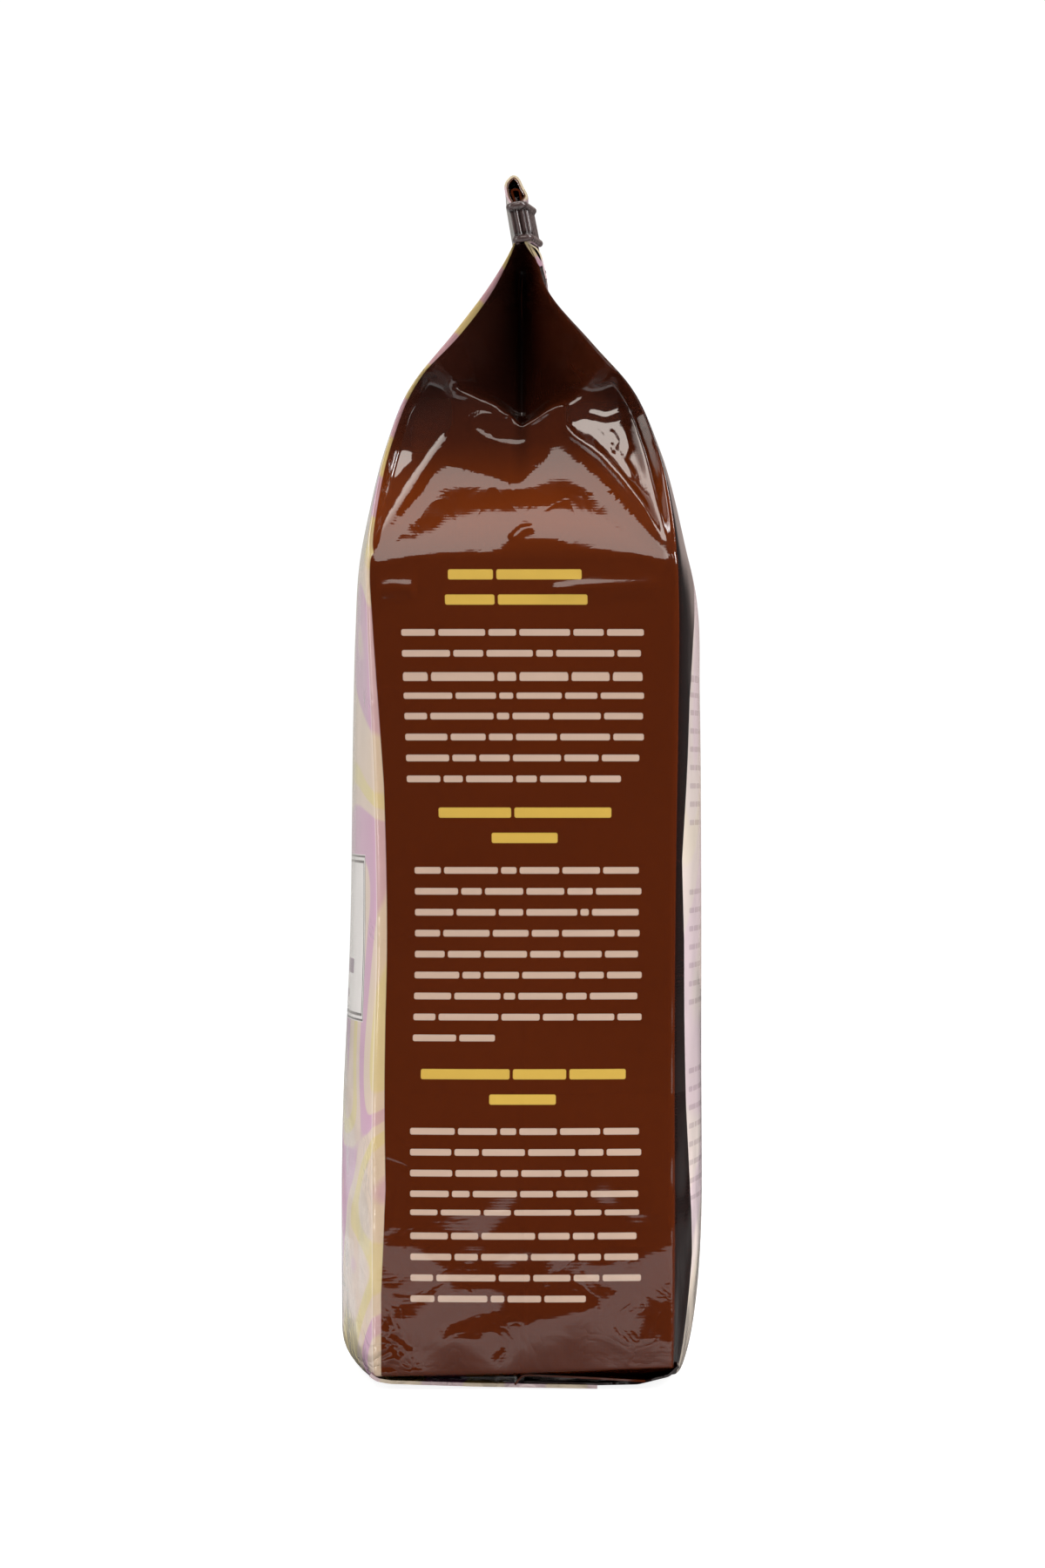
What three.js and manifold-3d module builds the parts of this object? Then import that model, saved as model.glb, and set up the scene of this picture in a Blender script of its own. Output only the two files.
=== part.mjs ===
// A packed and closed side-gusset coffee bag, of the size that holds 12 oz of beans.
//
// The pouch is one tube of printed laminate film: a front panel, a back panel and two side
// gussets. Coffee fills it up to the shoulder. Above that the gussets tuck in between the
// panels, the panels meet at a flat neck, and the neck is folded over towards the back. A
// plastic tin-tie lies across the front of the neck, and its ends are bent round to the back.
//
// Millimetres, +Z up. The front panel faces -Y, the gussets face +X and -X, and the origin
// is on the floor under the middle of the bag.
import * as THREE from "three";
import { mergeVertices } from "three/addons/utils/BufferGeometryUtils.js";
import Module from "manifold-3d";

// The flat tube of film
const PANEL_WIDTH = 82.5;
const GUSSET_WIDTH = 63.5;
const HALF_PANEL = PANEL_WIDTH / 2;
const HALF_GUSSET = GUSSET_WIDTH / 2;

// Where the film goes, seen from the gusset side: half depth and height of the two corner
// creases, from the hem over the shoulder to the neck
const SHOULDER_HEIGHT = 175;
const NECK_HEIGHT = 239.5;
const FRONT_HEM_HEIGHT = 2.6;
const BACK_HEM_HEIGHT = 4.6;
const FRONT_CREASE = [
  [-31.2, FRONT_HEM_HEIGHT], [-31.2, 60], [-30.3, 95], [-30.8, 123], [-32.4, 160],
  [-32.6, SHOULDER_HEIGHT], [-31.2, 185], [-28.1, 198.6], [-23.4, 210.3], [-13.6, 222.6],
  [-6.1, 232.6], [-1.6, NECK_HEIGHT],
];
const BACK_CREASE = [
  [32.2, BACK_HEM_HEIGHT], [32.1, 77], [32.4, 110], [33, 146], [32.8, SHOULDER_HEIGHT],
  [31.2, 187.3], [28.4, 198.3], [22.8, 210.8], [15, 219.6], [4.8, 232], [0.4, NECK_HEIGHT],
];

// How far the packed coffee swells each wall past its creases, by height
const FRONT_SWELL = [
  [0, 8], [45, 8], [70, 7.5], [95, 7.1], [127, 6], [160, 3.8], [175, 2.6], [192, 2.3], [222, 1.6], [240, 1.2],
];
const BACK_SWELL = [
  [0, 7.2], [60, 7.2], [110, 6.8], [145, 5.9], [168, 5], [178, 3.2], [198, 2], [222, 1], [240, 0.4],
];
const SIDE_SWELL = [[0, 0.6], [25, 1.8], [80, 2.4], [140, 1.6], [175, 0]];

// The front and back panels round off into the base
const FRONT_FOOT = { reach: 8, height: 12 };
const BACK_FOOT = { reach: 7, height: 44 };
const BASE_CLEARANCE = 0.4;
const TUCK_DEPTH = 12;

// The gusset folds like a gable top: a triangle leans in, and a pleat runs from its tip
const GABLE_LEAN = THREE.MathUtils.degToRad(35);
const NECK_PLEAT_X = HALF_PANEL - HALF_GUSSET + 1.5;

// Folded laminate
const FLAP_THICKNESS = 0.8;
const FLAP_LENGTH = HALF_PANEL * 2 - 1.5;
const SEAM_END = 16;

// The neck leans forward through the tin-tie, loops over and comes down behind it
const NECK_LEAN = THREE.MathUtils.degToRad(9.5);
const TIE_CENTRE = new THREE.Vector3(0, -0.3, 244.8);
const STACK_HALF = 0.6;
const LOOP_TOP = 10.2;
const LOOP_HALF = 1.5;
const INNER_TAIL = { flare: 2.8, drop: 10 };
const OUTER_TAIL = { flare: 3.6, drop: 12.9 };
const TAIL_THICKNESS = 0.5;

// The tin-tie: a web between two wires, all in one dark plastic
const TIE_HEIGHT = 8.6;
const WIRE_RADIUS = 0.6;
const WEB_THICKNESS = 0.6;
const TIE_HALF_GAP = STACK_HALF + 0.3 + WIRE_RADIUS;
const TIE_LEG = 20;
const TIE_LEG_FLARE = 2.6;
const TIE_END_GAP = 0.5;
const TIE_RIBS = 7;
const RIB_RADIUS = 0.22;

// Faces of the pouch: columns across a panel and a gusset, and rows up the film
const PANEL_COLUMNS = 16;
const GUSSET_COLUMNS = 16;
const FOOT_ROWS = 6;
const BODY_ROWS = 16;
const GABLE_ROWS = GUSSET_COLUMNS / 2;
const PLEAT_ROWS = 10;
const ROWS = FOOT_ROWS + BODY_ROWS + GABLE_ROWS + PLEAT_ROWS;

const wasm = await Module();
wasm.setup();

function asSolid(geometry) {
  const bare = geometry.index ? geometry.toNonIndexed() : geometry.clone();
  bare.deleteAttribute("normal");
  bare.deleteAttribute("uv");
  const merged = mergeVertices(bare, 1e-4);
  return new wasm.Manifold(
    new wasm.Mesh({
      numProp: 3,
      vertProperties: new Float32Array(merged.attributes.position.array),
      triVerts: new Uint32Array(merged.index.array),
    }),
  );
}

function asGeometry(solid) {
  const mesh = solid.getMesh();
  const geometry = new THREE.BufferGeometry();
  geometry.setAttribute("position", new THREE.BufferAttribute(mesh.vertProperties, 3));
  geometry.setIndex(new THREE.BufferAttribute(mesh.triVerts, 1));
  geometry.computeVertexNormals();
  return geometry;
}

// A value that changes smoothly with height, through stations of [height, value].
function atHeight(stations, height) {
  const last = stations.length - 1;
  if (height <= stations[0][0]) return stations[0][1];
  if (height >= stations[last][0]) return stations[last][1];
  const next = stations.findIndex(([station]) => station > height);
  const [from, to] = [stations[next - 1], stations[next]];
  return THREE.MathUtils.lerp(from[1], to[1], (height - from[0]) / (to[0] - from[0]));
}

// A corner crease, and the film's length along it up to the shoulder and to the neck
function creaseOf(points) {
  const curve = new THREE.SplineCurve(points.map(([y, z]) => new THREE.Vector2(y, z)));
  curve.arcLengthDivisions = 2000;
  const length = curve.getLength();
  let shoulder = 0;
  while (curve.getPointAt(shoulder).y < SHOULDER_HEIGHT) shoulder += 0.0005;
  return { curve, length, shoulder: shoulder * length };
}

const frontCrease = creaseOf(FRONT_CREASE);
const backCrease = creaseOf(BACK_CREASE);

// Film below the shoulder is counted from the hem, and film above it from the shoulder.
const aboveShoulder = (crease) => crease.length - crease.shoulder;
const rowOfShoulder = FOOT_ROWS + BODY_ROWS;
const rowOfApex = rowOfShoulder + GABLE_ROWS;
const FOOT_FILM = 20;

// How far up the film a row lies: below the shoulder as a share of that stretch (0 to 1),
// above it as 1 plus the length of film past the shoulder.
function rowPlace(row) {
  if (row <= FOOT_ROWS) return { share: ((row / FOOT_ROWS) * FOOT_FILM) / frontCrease.shoulder, past: 0 };
  if (row <= rowOfShoulder) {
    const foot = FOOT_FILM / frontCrease.shoulder;
    return { share: foot + ((row - FOOT_ROWS) / BODY_ROWS) * (1 - foot), past: 0 };
  }
  if (row <= rowOfApex) return { share: 1, past: ((row - rowOfShoulder) / GABLE_ROWS) * HALF_GUSSET };
  const rest = aboveShoulder(frontCrease) - HALF_GUSSET;
  return { share: 1, past: HALF_GUSSET + ((row - rowOfApex) / PLEAT_ROWS) * rest };
}

function creasePoint(crease, place) {
  const past = place.past * (aboveShoulder(crease) / aboveShoulder(frontCrease));
  const film = place.share * crease.shoulder + past;
  const point = crease.curve.getPointAt(Math.min(1, film / crease.length));
  return { y: point.x, z: point.y };
}

// How far the foot of a panel has turned in at a height
function footInset(foot, height) {
  if (height >= foot.height) return 0;
  const drop = (foot.height - height) / foot.height;
  return foot.reach * (1 - Math.sqrt(Math.max(0, 1 - drop * drop)));
}

// A point of the front (side -1) or back (side +1) panel. across runs from -1 to 1.
function panelPoint(side, across, place) {
  const crease = creasePoint(side < 0 ? frontCrease : backCrease, place);
  const crown = 1 - across * across;
  const hem = side < 0 ? FRONT_HEM_HEIGHT : BACK_HEM_HEIGHT;
  const low = Math.max(0, 1 - (place.share * frontCrease.shoulder) / FOOT_FILM);
  const z = crease.z - (hem - BASE_CLEARANCE) * low * (1 - Math.abs(across) ** 6);
  const swell = atHeight(side < 0 ? FRONT_SWELL : BACK_SWELL, z) * crown;
  const inset = footInset(side < 0 ? FRONT_FOOT : BACK_FOOT, z) * Math.sqrt(crown);
  return new THREE.Vector3(across * HALF_PANEL, crease.y + side * (swell - inset), z);
}

// A point of the gusset on the +X side. across runs from -1 at the front crease to 1.
function gussetPoint(across, place) {
  const corner = creasePoint(across < 0 ? frontCrease : backCrease, place);
  if (place.past === 0) {
    const front = creasePoint(frontCrease, place);
    const back = creasePoint(backCrease, place);
    const share = (across + 1) / 2;
    const z = THREE.MathUtils.lerp(front.z, back.z, share);
    const x = HALF_PANEL + atHeight(SIDE_SWELL, z) * (1 - across * across);
    return new THREE.Vector3(x, THREE.MathUtils.lerp(front.y, back.y, share), z);
  }
  const climb = Math.min(place.past, HALF_GUSSET);
  const middle = (FRONT_CREASE[5][0] + BACK_CREASE[4][0]) / 2;
  const half = HALF_GUSSET - climb;
  const fold = new THREE.Vector3(
    HALF_PANEL - climb * Math.sin(GABLE_LEAN),
    middle + Math.sign(across) * Math.min(half, Math.abs(across) * HALF_GUSSET),
    SHOULDER_HEIGHT + climb * Math.cos(GABLE_LEAN),
  );
  if (place.past > HALF_GUSSET) {
    const share = (place.past - HALF_GUSSET) / (aboveShoulder(frontCrease) - HALF_GUSSET);
    const neck = (creasePoint(frontCrease, place).y + creasePoint(backCrease, place).y) / 2;
    fold.x = THREE.MathUtils.lerp(fold.x, NECK_PLEAT_X, share);
    fold.y = THREE.MathUtils.lerp(middle, neck, share);
    fold.z = THREE.MathUtils.lerp(fold.z, NECK_HEIGHT, share);
  }
  const outside = Math.abs(across) * HALF_GUSSET - half;
  if (outside <= 1e-9) return fold;
  const share = outside / (HALF_GUSSET - half);
  return fold.lerp(new THREE.Vector3(HALF_PANEL, corner.y, corner.z), share);
}

// A point of the pouch's wall, or of its base and top where neither across is -1 or 1
function pouchPoint(acrossX, acrossY, row) {
  const place = rowPlace(row);
  if (Math.abs(acrossY) === 1) return panelPoint(acrossY, acrossX, place);
  const gusset = gussetPoint(acrossY, place);
  if (Math.abs(acrossX) === 1) return new THREE.Vector3(acrossX * gusset.x, gusset.y, gusset.z);
  const front = panelPoint(-1, acrossX, place);
  const back = panelPoint(1, acrossX, place);
  const y = THREE.MathUtils.lerp(front.y, back.y, (acrossY + 1) / 2);
  const edge = (Math.abs(acrossX) * HALF_PANEL - (HALF_PANEL - TUCK_DEPTH)) / TUCK_DEPTH;
  const tuck = THREE.MathUtils.smoothstep(edge, 0, 1);
  const floor = row === 0 ? BASE_CLEARANCE : front.z;
  return new THREE.Vector3(acrossX * gusset.x, y, THREE.MathUtils.lerp(floor, gusset.z, tuck));
}

// Each square of a wall is split along the line that climbs towards the wall's middle, which
// is the way the gable's creases run.
function splitAlongCreases(box) {
  const { position, normal } = box.attributes;
  const index = box.index;
  for (let i = 0; i < index.count; i += 6) {
    const [a, b, c, d] = [index.getX(i), index.getX(i + 1), index.getX(i + 4), index.getX(i + 2)];
    if (Math.abs(normal.getZ(a)) > 0.5) continue;
    const across = Math.abs(normal.getX(a)) > 0.5 ? position.getY.bind(position) : position.getX.bind(position);
    const climb = (position.getZ(c) - position.getZ(a)) * (Math.abs(across(c)) - Math.abs(across(a)));
    if (climb < 0) [a, b, c, a, c, d].forEach((vertex, k) => index.setX(i + k, vertex));
  }
}

// The filled pouch from the hem to the neck: a box whose faces are laid onto the film
function pouch() {
  const box = new THREE.BoxGeometry(2, 2, ROWS, PANEL_COLUMNS, GUSSET_COLUMNS, ROWS);
  splitAlongCreases(box);
  const position = box.attributes.position;
  for (let i = 0; i < position.count; i++) {
    const row = Math.round(position.getZ(i) + ROWS / 2);
    const point = pouchPoint(position.getX(i), position.getY(i), row);
    position.setXYZ(i, point.x, point.y, point.z);
  }
  return asSolid(box);
}

// A profile drawn in the YZ plane, run along X and centred on it
function alongX(shape, length) {
  const geometry = new THREE.ExtrudeGeometry(shape, { depth: length, bevelEnabled: false, curveSegments: 6 });
  geometry.translate(0, 0, -length / 2);
  geometry.applyMatrix4(
    new THREE.Matrix4().makeBasis(
      new THREE.Vector3(0, 1, 0), new THREE.Vector3(0, 0, 1), new THREE.Vector3(1, 0, 0),
    ),
  );
  return geometry;
}

// The front panel's film under the base, with the bottom seam pressed flat towards the back
function baseSheet() {
  const shape = new THREE.Shape();
  shape.moveTo(SEAM_END, 0);
  shape.lineTo(SEAM_END, FLAP_THICKNESS);
  shape.lineTo(-27, FLAP_THICKNESS + 0.6);
  shape.lineTo(-31, FRONT_HEM_HEIGHT + 0.6);
  shape.lineTo(-31.6, FRONT_HEM_HEIGHT);
  shape.quadraticCurveTo(-30, 0.2, -25, 0);
  shape.closePath();
  return asSolid(alongX(shape, FLAP_LENGTH));
}

// The back panel's film, which comes round the base and lies on the seam
function backFlap() {
  const shape = new THREE.Shape();
  shape.moveTo(0.5, FLAP_THICKNESS - 0.2);
  shape.lineTo(SEAM_END - 1, FLAP_THICKNESS - 0.2);
  shape.quadraticCurveTo(27, 1.2, 32.4, BACK_HEM_HEIGHT);
  shape.lineTo(31.6, BACK_HEM_HEIGHT + 0.5);
  shape.quadraticCurveTo(26, 2.4, SEAM_END - 2, FLAP_THICKNESS + 0.9);
  shape.lineTo(0.5, FLAP_THICKNESS + 0.9);
  shape.closePath();
  return asSolid(alongX(shape, FLAP_LENGTH));
}

// The neck above the shoulder: up through the tie, over in a loop, and down as a tail.
// Drawn upright about the middle of the tie, then leant forward.
function foldedNeck() {
  const shape = new THREE.Shape();
  const tieBottom = -TIE_HEIGHT / 2;
  const tieTop = TIE_HEIGHT / 2;
  shape.moveTo(-STACK_HALF, tieBottom - 3);
  shape.lineTo(0.25, tieBottom - 3);
  shape.lineTo(0.05, tieBottom + 0.1);
  shape.lineTo(INNER_TAIL.flare, -INNER_TAIL.drop);
  shape.lineTo(INNER_TAIL.flare + TAIL_THICKNESS, -INNER_TAIL.drop + 0.2);
  shape.lineTo(0.8, tieBottom - 0.8);
  shape.lineTo(OUTER_TAIL.flare - 0.1, tieBottom - 2.9);
  shape.lineTo(OUTER_TAIL.flare, -OUTER_TAIL.drop);
  shape.lineTo(OUTER_TAIL.flare + TAIL_THICKNESS, -OUTER_TAIL.drop);
  shape.lineTo(OUTER_TAIL.flare + TAIL_THICKNESS, tieBottom - 2.6);
  shape.lineTo(STACK_HALF, tieBottom - 0.1);
  shape.lineTo(STACK_HALF, tieTop + 0.2);
  shape.lineTo(LOOP_HALF, tieTop + 2.8);
  shape.lineTo(LOOP_HALF - 0.3, LOOP_TOP - 1.2);
  shape.lineTo(0.2, LOOP_TOP);
  shape.lineTo(-LOOP_HALF, LOOP_TOP - 1.9);
  shape.lineTo(-LOOP_HALF + 0.1, LOOP_TOP - 3.4);
  shape.lineTo(-STACK_HALF, tieTop + 0.2);
  shape.closePath();
  const tunnel = new THREE.Path();
  tunnel.moveTo(0, tieTop + 1);
  tunnel.lineTo(-LOOP_HALF + 0.6, LOOP_TOP - 2.2);
  tunnel.lineTo(0.2, LOOP_TOP - 0.8);
  tunnel.lineTo(LOOP_HALF - 0.8, LOOP_TOP - 1.8);
  tunnel.lineTo(LOOP_HALF - 0.6, tieTop + 2.7);
  tunnel.closePath();
  shape.holes.push(tunnel);
  const geometry = alongX(shape, PANEL_WIDTH);
  geometry.applyMatrix4(leaning());
  return asSolid(geometry);
}

function leaning() {
  const matrix = new THREE.Matrix4().makeRotationX(NECK_LEAN);
  return matrix.setPosition(TIE_CENTRE);
}

function bag() {
  return [baseSheet(), backFlap(), foldedNeck()].reduce((whole, piece) => whole.add(piece), pouch());
}

// The middle line of the tie, seen from above: leg, bend, front, bend, leg
class TieLine extends THREE.Curve {
  constructor() {
    super();
    const bendX = HALF_PANEL + TIE_END_GAP;
    const half = [];
    for (let step = 0; step <= 8; step++) {
      const angle = -Math.PI / 2 + (Math.PI * step) / 8;
      half.push(new THREE.Vector3(
        bendX + TIE_HALF_GAP * Math.cos(angle), TIE_HALF_GAP * Math.sin(angle), 0,
      ));
    }
    half.push(new THREE.Vector3(bendX - TIE_LEG, TIE_HALF_GAP + TIE_LEG_FLARE, 0));
    const mirrored = half.map((p) => new THREE.Vector3(-p.x, p.y, 0)).reverse();
    this.stations = [...mirrored, ...half];
  }
  get steps() {
    return this.stations.length - 1;
  }
  getPoint(t, target = new THREE.Vector3()) {
    return target.copy(this.stations[Math.round(t * this.steps)]);
  }
  getPointAt(t, target) {
    return this.getPoint(t, target);
  }
  getTangentAt(t, target = new THREE.Vector3()) {
    const here = Math.round(t * this.steps);
    const before = this.stations[Math.max(0, here - 1)];
    const after = this.stations[Math.min(this.steps, here + 1)];
    const [from, to] = [this.stations[here].clone().sub(before), after.clone().sub(this.stations[here])];
    return target.copy(from.normalize()).add(to.normalize()).normalize();
  }
}

// Web and both wires in one section, long side along the shape's X
function tieSection() {
  const shape = new THREE.Shape();
  const wire = TIE_HEIGHT / 2 - WIRE_RADIUS;
  const meet = Math.asin(WEB_THICKNESS / 2 / WIRE_RADIUS);
  shape.absarc(wire, 0, WIRE_RADIUS, -Math.PI + meet, Math.PI - meet, false);
  shape.absarc(-wire, 0, WIRE_RADIUS, meet, 2 * Math.PI - meet, false);
  shape.closePath();
  return shape;
}

function tinTie() {
  const line = new TieLine();
  const strip = new THREE.ExtrudeGeometry(tieSection(), {
    steps: line.steps, extrudePath: line, curveSegments: 4, bevelEnabled: false,
  });
  let tie = asSolid(strip);
  const ribHeight = TIE_HEIGHT - 2 * WIRE_RADIUS;
  for (const end of [-1, 1]) {
    for (let rib = 0; rib < TIE_RIBS; rib++) {
      const angle = ((rib + 0.5) / TIE_RIBS) * Math.PI - Math.PI / 2;
      const reach = TIE_HALF_GAP + WEB_THICKNESS / 2;
      const post = new THREE.CylinderGeometry(RIB_RADIUS, RIB_RADIUS, ribHeight, 6);
      post.rotateX(Math.PI / 2);
      post.translate(
        end * (HALF_PANEL + TIE_END_GAP + reach * Math.cos(angle)), reach * Math.sin(angle), 0,
      );
      tie = tie.add(asSolid(post));
    }
  }
  return tie.transform(leaning().elements);
}

function named(name, solid, finish) {
  const mesh = new THREE.Mesh(asGeometry(solid), new THREE.MeshStandardMaterial(finish));
  mesh.name = name;
  return mesh;
}

const coffeeBag = new THREE.Group();
coffeeBag.add(named("bag", bag(), { color: 0x54210c, roughness: 0.16, metalness: 0 }));
coffeeBag.add(named("tin_tie", tinTie(), { color: 0x33282a, roughness: 0.35, metalness: 0 }));

export default coffeeBag;
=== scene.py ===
"""A packed, closed side-gusset coffee bag, seen from its gusset side. Metres, +Z up, the front
panel faces -Y and the gussets face +X and -X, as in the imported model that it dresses."""

import math

import bmesh
import bpy
import numpy as np
from mathutils import Euler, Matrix
from mathutils import Vector


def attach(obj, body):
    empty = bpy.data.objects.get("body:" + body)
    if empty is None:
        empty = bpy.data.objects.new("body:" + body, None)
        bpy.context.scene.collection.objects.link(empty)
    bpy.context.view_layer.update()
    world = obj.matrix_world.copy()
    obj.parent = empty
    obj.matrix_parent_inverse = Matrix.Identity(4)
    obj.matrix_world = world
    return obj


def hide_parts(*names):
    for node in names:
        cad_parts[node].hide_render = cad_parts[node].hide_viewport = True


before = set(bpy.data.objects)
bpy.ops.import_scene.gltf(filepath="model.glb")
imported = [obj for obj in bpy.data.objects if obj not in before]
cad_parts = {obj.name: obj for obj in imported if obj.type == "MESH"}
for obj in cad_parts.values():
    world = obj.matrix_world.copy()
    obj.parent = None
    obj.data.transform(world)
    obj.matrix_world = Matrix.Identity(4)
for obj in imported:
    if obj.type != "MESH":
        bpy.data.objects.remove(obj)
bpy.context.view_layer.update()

# The pouch
#
# One tube of laminate film, printed and glossy: front panel, back panel and two gussets. It is
# filled with coffee up to the shoulder, and above that its gussets tuck in between the panels.
# It starts as a flat sheet, is rolled into the tube, and its edges are joined down the back.

MM = 0.001
PANEL_WIDTH = 82.5
GUSSET_WIDTH = 63.5
HALF_PANEL = PANEL_WIDTH / 2
HALF_GUSSET = GUSSET_WIDTH / 2
SHOULDER = 175.0
NECK = 241.6
FRONT_HEM = 2.6
BACK_HEM = 4.6

# Stations of (height, half depth) of the corner creases
FRONT_CREASE = [
    (FRONT_HEM, 31.2), (20, 31.2), (60, 31.2), (95, 30.3), (123, 30.8), (146, 31.8), (160, 32.4),
    (175, 32.6), (185, 31.2), (198.6, 28.1), (210.3, 23.4), (222.6, 13.6), (232.2, 6.4), (236.7, 3.6),
    (239.7, 2.0), (241.6, 1.2),
]
BACK_CREASE = [
    (BACK_HEM, 32.2), (20, 32.2), (77, 32.1), (110, 32.4), (146, 33), (165, 33.1), (175, 32.8),
    (187.3, 31.2), (198.3, 28.4), (210.8, 22.8), (219.6, 15), (232, 4.9), (235.8, 3.7),
    (239.5, 1.9), (241.6, 0.9),
]
# Stations of (height, swell past the creases) of the walls
FRONT_SWELL = [
    (0, 8), (45, 8), (70, 7.5), (95, 7.1), (127, 6), (160, 3.8), (175, 2.6), (192, 1.7), (222, 1.4),
    (240, 1.2),
]
BACK_SWELL = [
    (0, 7.2), (60, 7.2), (110, 6.8), (145, 5.9), (168, 5), (178, 3.2), (198, 1.8), (214, 0.8),
    (226, 0.3), (240, 0.2),
]
SIDE_SWELL = [(0, 1.5), (25, 2.0), (80, 2.4), (140, 1.6), (175, 0)]
GABLE_LEAN = math.radians(35)
NECK_PLEAT = HALF_PANEL - HALF_GUSSET + 1.5
TURN = 0.017  # the neck's run to +Y for each mm towards -X

# Squares of the sheet: across a panel and a gusset, and heights of its rows
PANEL_SQUARES = 36
GUSSET_SQUARES = 132
TUCK = 14.0
ROWS = np.concatenate([
    np.linspace(-TUCK, 0, 10)[:-1],
    np.linspace(0, 36, 30)[:-1],
    np.linspace(36, 150, 40)[:-1],
    np.linspace(150, SHOULDER, 32)[:-1],
    np.linspace(SHOULDER, SHOULDER + 36, 106)[:-1],
    np.linspace(SHOULDER + 36, SHOULDER + 76, 46),
])


def smooth(stations, at):
    """A value at each height, on a smooth curve through the stations."""
    height, value = np.array(stations, float).T
    slope = np.gradient(value, height)
    at = np.clip(at, height[0], height[-1])
    cell = np.clip(np.searchsorted(height, at, side="right") - 1, 0, len(height) - 2)
    step = height[cell + 1] - height[cell]
    t = (at - height[cell]) / step
    return (
        value[cell] * (1 + 2 * t) * (1 - t) ** 2
        + slope[cell] * step * t * (1 - t) ** 2
        + value[cell + 1] * t * t * (3 - 2 * t)
        - slope[cell + 1] * step * t * t * (1 - t)
    )


def crease(stations, side, film):
    """Y and Z of a corner crease at heights of film, counted along it above the shoulder."""
    z = np.linspace(SHOULDER, NECK, 400)
    y = smooth(stations, z)
    run = SHOULDER + np.concatenate([[0], np.cumsum(np.hypot(np.diff(y), np.diff(z)))])
    share = (film - SHOULDER) / (ROWS[-1] - SHOULDER)
    above = np.interp(SHOULDER + share * (run[-1] - SHOULDER), run, z)
    height = np.where(film > SHOULDER, above, np.maximum(film, stations[0][0]))
    return side * smooth(stations, height), height


def lerp(a, b, t):
    return a + (b - a) * t


def panel_point(side, across, film):
    """Points of the front (side -1) or back (side 1) panel."""
    y, z = crease(FRONT_CREASE if side < 0 else BACK_CREASE, side, film)
    hem = FRONT_HEM if side < 0 else BACK_HEM
    low = np.clip(1 - film / 20, 0, 1)
    z = z - (hem - 0.9) * low * (1 - np.abs(across) ** 6)
    crown = 1 - across**2
    swell = smooth(FRONT_SWELL if side < 0 else BACK_SWELL, z) * crown
    reach, top = (8, 8.4) if side < 0 else (5.8, 42)
    drop = np.clip((top - z) / top, 0, 1)
    swell = swell - reach * (1 - np.sqrt(np.maximum(0, 1 - drop**2))) * np.sqrt(crown)
    return np.stack([across * HALF_PANEL, y + side * swell, z], axis=-1)


def gusset_point(across, film):
    """Points of the gusset on the +X side."""
    front = np.stack(crease(FRONT_CREASE, -1, film), axis=-1)
    back = np.stack(crease(BACK_CREASE, 1, film), axis=-1)
    share = (across + 1) / 2
    flat = lerp(front, back, share[..., None])
    bulge = smooth(SIDE_SWELL, flat[..., 1]) * (1 - across**2)
    wall = np.stack([HALF_PANEL + bulge, flat[..., 0], flat[..., 1]], axis=-1)

    past = film - SHOULDER
    climb = np.clip(past, 0, HALF_GUSSET)
    half = HALF_GUSSET - climb
    middle = 0.1
    out = np.abs(across) * HALF_GUSSET
    fold = np.stack([
        HALF_PANEL - climb * math.sin(GABLE_LEAN),
        middle + np.sign(across) * np.minimum(half, out),
        SHOULDER + climb * math.cos(GABLE_LEAN),
    ], axis=-1)
    rise = np.clip((past - HALF_GUSSET) / (ROWS[-1] - SHOULDER - HALF_GUSSET), 0, 1)[..., None]
    neck = np.stack([np.full_like(past, NECK_PLEAT), (front[..., 0] + back[..., 0]) / 2,
                     np.full_like(past, NECK)], axis=-1)
    fold = lerp(fold, neck, rise)
    corner = np.where((across < 0)[..., None], front, back)
    corner = np.concatenate([np.full_like(corner[..., :1], HALF_PANEL), corner], axis=-1)
    wing = np.clip((out - half) / np.maximum(HALF_GUSSET - half, 1e-6), 0, 1)
    gable = lerp(fold, corner, wing[..., None])
    return np.where((past > 0)[..., None], gable, wall)


def film_columns():
    """Each column's wall, its place across that wall, and its distance round the film."""
    half = np.linspace(0, 1, PANEL_SQUARES // 2 + 1)
    whole = np.linspace(-1, 1, PANEL_SQUARES + 1)
    gusset = np.linspace(-1, 1, GUSSET_SQUARES + 1)
    runs = [("back", -half), ("left", -gusset), ("front", whole), ("right", gusset), ("back", half[::-1])]
    columns = []
    for wall, places in runs:
        columns += [(wall, place) for place in places[:-1]]
    return columns + [("back", 0.0)]


def rolled(walls, across, film):
    """Every corner of the sheet, in mm, once it is rolled into the pouch."""
    points = np.zeros(across.shape + (3,))
    for wall in ("front", "back", "left", "right"):
        on = walls == wall
        side = -1 if wall == "front" else 1
        make = panel_point(side, across, film) if wall in ("front", "back") else gusset_point(across, film)
        if wall == "left":
            make[..., 0] *= -1
        points = np.where(on[..., None], make, points)
    return points


columns = film_columns()
walls = np.array([wall for wall, _ in columns])[None, :].repeat(len(ROWS), axis=0)
across = np.array([place for _, place in columns])[None, :].repeat(len(ROWS), axis=0)
film = ROWS[:, None].repeat(len(columns), axis=1)
sheet = rolled(walls, across, np.maximum(film, 0))

# Under the hem the film turns in towards the middle of the base.
under = np.clip(-film / TUCK, 0, 1)
sheet[..., 0] *= 1 - 0.30 * under
sheet[..., 1] *= 1 - 0.38 * under
sheet[..., 2] = lerp(sheet[..., 2], 1.6, np.clip(under * 1.6, 0, 1))


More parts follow.
